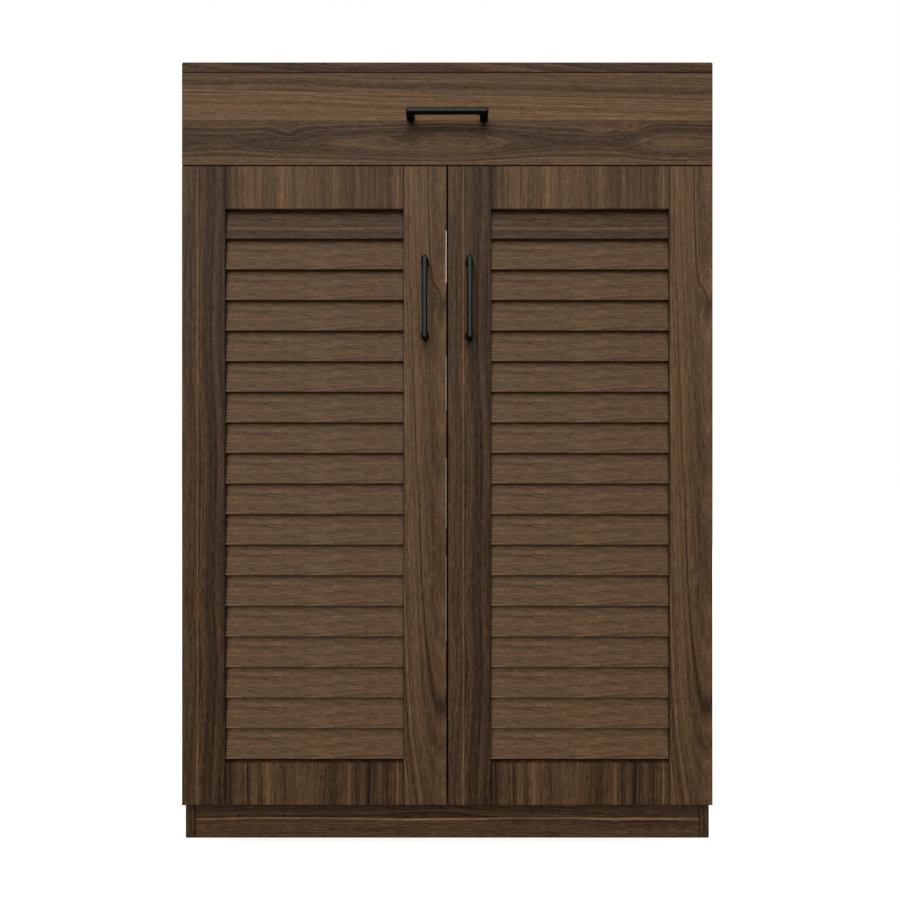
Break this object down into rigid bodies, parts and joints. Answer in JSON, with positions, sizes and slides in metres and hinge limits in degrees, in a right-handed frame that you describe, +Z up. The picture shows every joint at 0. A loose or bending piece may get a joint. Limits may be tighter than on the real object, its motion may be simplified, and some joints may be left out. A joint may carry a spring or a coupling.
{
  "type": "shoe cabinet",
  "caption": "Tall dark-wood shoe cabinet with a wide top drawer over two hinged louvred doors, inner shelves, a plinth and black bar handles.",
  "frame": {"origin": "on the floor, under the centre of the bounding box, which includes the handles", "axes": "+Z up, +X to the right seen from the front, -Y out of the front, so the doors and the drawer open towards -Y"},
  "size_m": [0.7, 0.385, 1.03],
  "materials": {
    "walnut_laminate": "satin dark walnut decor",
    "top_laminate": "satin dark walnut decor, slightly redder",
    "inner_laminate": "matte dark walnut decor",
    "hardboard": "matte printed hardboard",
    "black_handle": "matte black",
    "zinc_steel": "zinc plated",
    "nickel": "nickel plated",
    "soft_pad": "matte"
  },
  "bodies": {
    "cabinet": {"left_side_panel": "walnut_laminate", "right_side_panel": "walnut_laminate", "top_panel": "top_laminate", "bottom_panel": "inner_laminate", "divider_panel": "inner_laminate", "back_panel": "hardboard", "kick_board": "walnut_laminate", "rear_plinth_board": "walnut_laminate", "lower_shelf": "inner_laminate", "middle_shelf": "inner_laminate", "upper_shelf": "inner_laminate", "lower_shelf_pin_left_front": "zinc_steel", "lower_shelf_pin_left_back": "zinc_steel", "lower_shelf_pin_right_front": "zinc_steel", "lower_shelf_pin_right_back": "zinc_steel", "upper_shelf_pin_left_front": "zinc_steel", "upper_shelf_pin_left_back": "zinc_steel", "upper_shelf_pin_right_front": "zinc_steel", "upper_shelf_pin_right_back": "zinc_steel", "left_slide_cabinet_member": "zinc_steel", "right_slide_cabinet_member": "zinc_steel", "left_upper_hinge_arm": "nickel", "left_lower_hinge_arm": "nickel", "right_upper_hinge_arm": "nickel", "right_lower_hinge_arm": "nickel", "left_door_bumper": "soft_pad", "right_door_bumper": "soft_pad"},
    "slide_middles": {"left_slide_middle_member": "zinc_steel", "right_slide_middle_member": "zinc_steel"},
    "drawer": {"drawer_front": "walnut_laminate", "drawer_left_side": "inner_laminate", "drawer_right_side": "inner_laminate", "drawer_back": "inner_laminate", "drawer_bottom": "hardboard", "drawer_handle": "black_handle", "left_slide_drawer_member": "zinc_steel", "right_slide_drawer_member": "zinc_steel"},
    "left_links": {"left_upper_hinge_link": "nickel", "left_lower_hinge_link": "nickel"},
    "left_door": {"left_door_outer_stile": "walnut_laminate", "left_door_inner_stile": "walnut_laminate", "left_door_top_rail": "walnut_laminate", "left_door_bottom_rail": "walnut_laminate", "left_door_louvre": "walnut_laminate", "left_door_handle": "black_handle", "left_upper_hinge_cup": "nickel", "left_lower_hinge_cup": "nickel"},
    "right_links": {"right_upper_hinge_link": "nickel", "right_lower_hinge_link": "nickel"},
    "right_door": {"right_door_outer_stile": "walnut_laminate", "right_door_inner_stile": "walnut_laminate", "right_door_top_rail": "walnut_laminate", "right_door_bottom_rail": "walnut_laminate", "right_door_louvre": "walnut_laminate", "right_door_handle": "black_handle", "right_upper_hinge_cup": "nickel", "right_lower_hinge_cup": "nickel"}
  },
  "joints": [
    {"name": "drawer_slide", "type": "slide", "parent": "cabinet", "child": "drawer", "axis": [0, -1, 0], "range_m": [0, 0.25]},
    {"name": "slide_middle_travel", "type": "slide", "parent": "cabinet", "child": "slide_middles", "axis": [0, -1, 0], "range_m": [0, 0.125]},
    {"name": "left_link_turn", "type": "hinge", "parent": "cabinet", "child": "left_links", "pos_m": [-0.3148, -0.1378, 0.471], "axis": [0, 0, 1], "range_deg": [0, 36.1]},
    {"name": "left_door_swing", "type": "hinge", "parent": "left_links", "child": "left_door", "pos_m": [-0.3386, -0.1442, 0.471], "axis": [0, 0, -1], "range_deg": [0, 131]},
    {"name": "right_link_turn", "type": "hinge", "parent": "cabinet", "child": "right_links", "pos_m": [0.3148, -0.1378, 0.471], "axis": [0, 0, -1], "range_deg": [0, 36.1]},
    {"name": "right_door_swing", "type": "hinge", "parent": "right_links", "child": "right_door", "pos_m": [0.3386, -0.1442, 0.471], "axis": [0, 0, 1], "range_deg": [0, 131]}
  ],
  "couplings": [
    {"joint": "slide_middle_travel", "follows": "drawer_slide", "ratio": 0.5},
    {"joint": "left_link_turn", "follows": "left_door_swing", "ratio": 0.275},
    {"joint": "right_link_turn", "follows": "right_door_swing", "ratio": 0.275}
  ]
}
